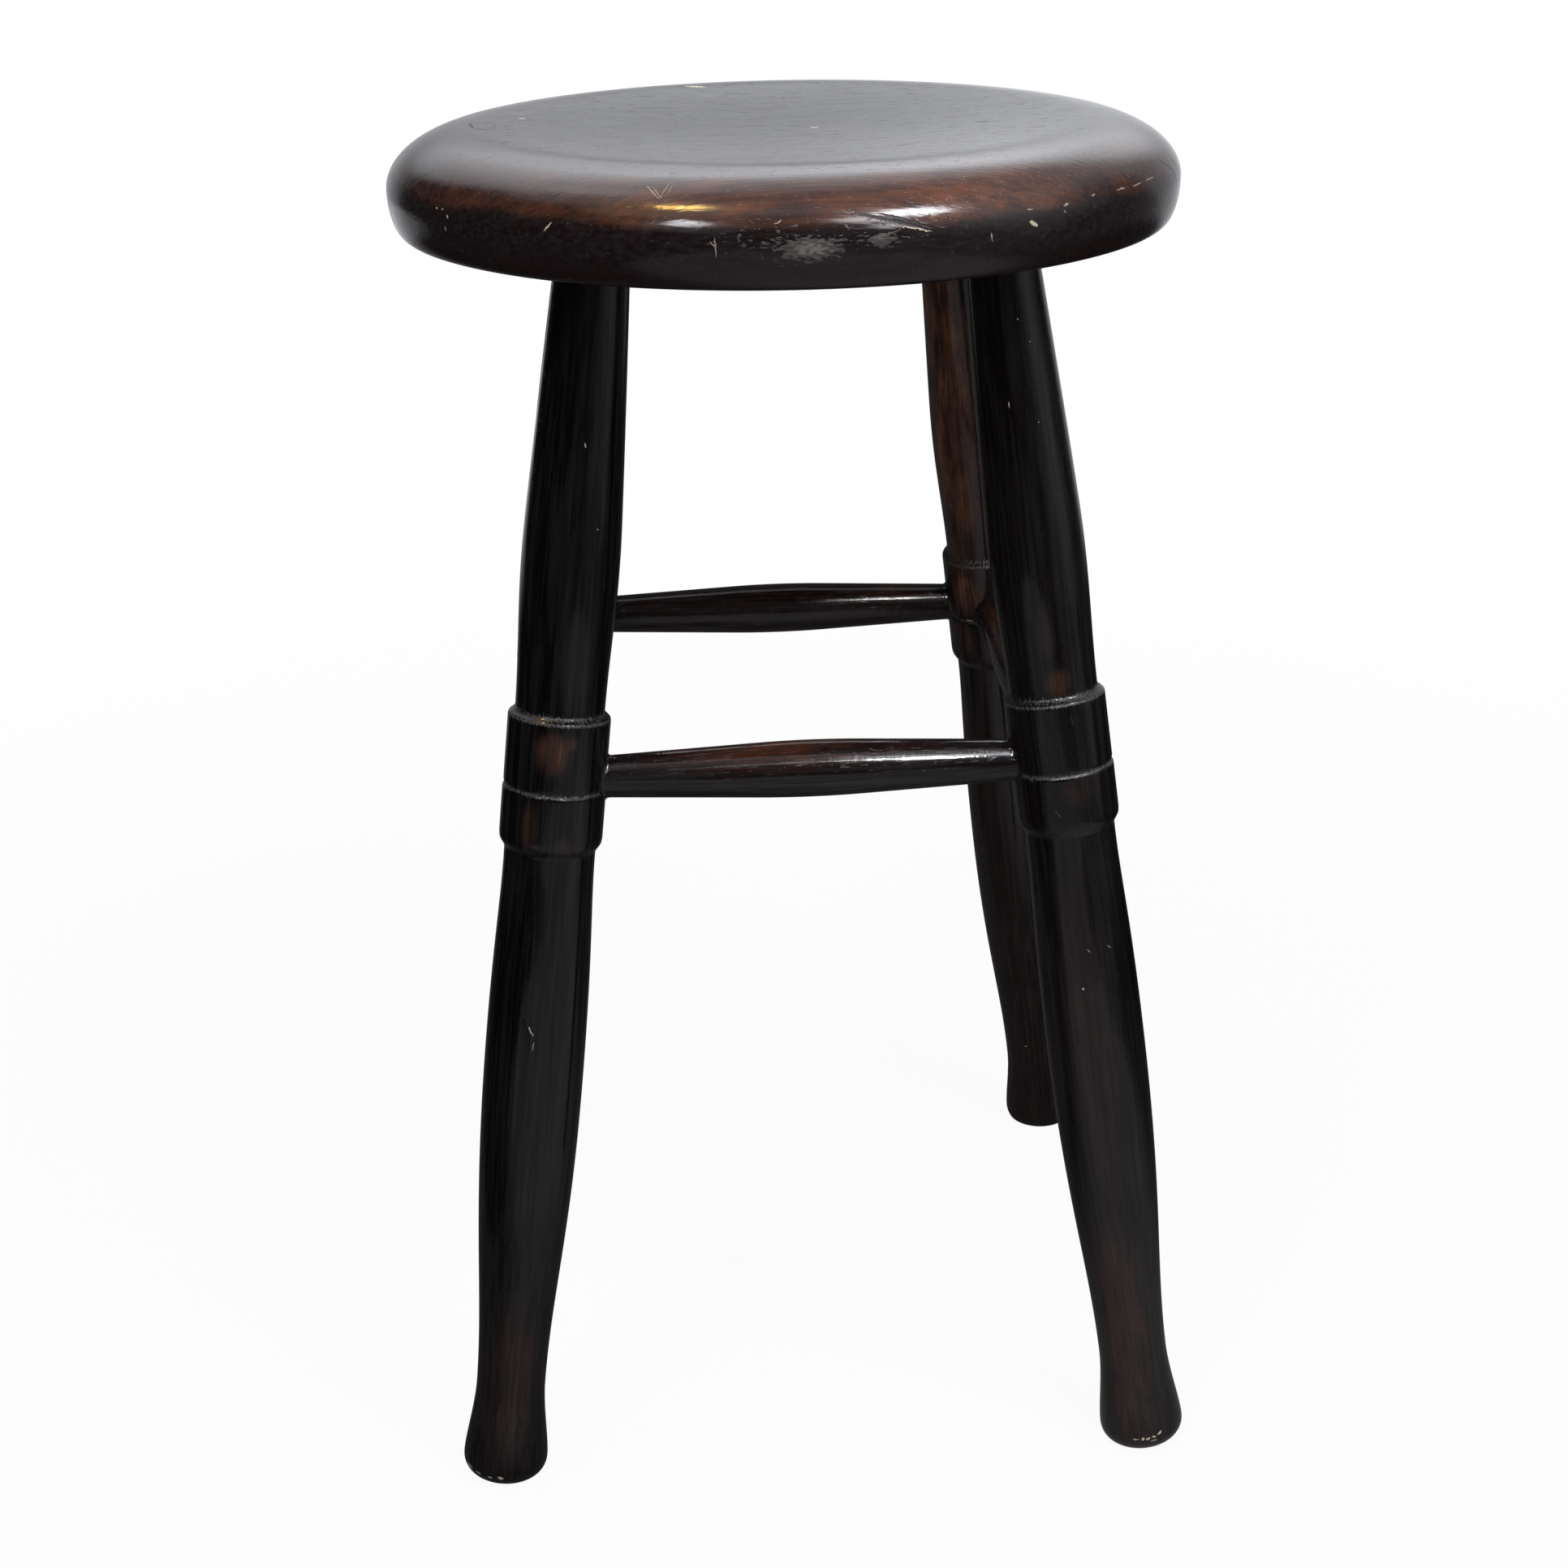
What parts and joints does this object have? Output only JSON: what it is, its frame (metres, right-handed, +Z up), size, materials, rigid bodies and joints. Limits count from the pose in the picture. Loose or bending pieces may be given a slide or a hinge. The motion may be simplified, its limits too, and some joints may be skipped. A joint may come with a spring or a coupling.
{
  "type": "bistro stool",
  "caption": "Backless round stool: a thick dished turned seat on splayed turned legs, held together low down by turned stretchers.",
  "frame": {"origin": "on the floor, midway between the four feet, under the centre of the seat", "axes": "+Z up; front towards -Y; the legs stand on the diagonals between X and Y"},
  "size_m": [0.3556, 0.3556, 0.607],
  "materials": {
    "seat_wood": "dark stained hardwood, gloss lacquer worn brown on the rim",
    "leg_wood": "near-black stained hardwood under old gloss lacquer",
    "stretcher_wood": "dark stained hardwood under old gloss lacquer, grain showing"
  },
  "bodies": {
    "root": {"seat": "seat_wood", "leg_front_left": "leg_wood", "leg_front_right": "leg_wood", "leg_back_right": "leg_wood", "leg_back_left": "leg_wood", "stretcher_front": "stretcher_wood", "stretcher_right": "stretcher_wood", "stretcher_back": "stretcher_wood", "stretcher_left": "stretcher_wood"}
  },
  "joints": []
}
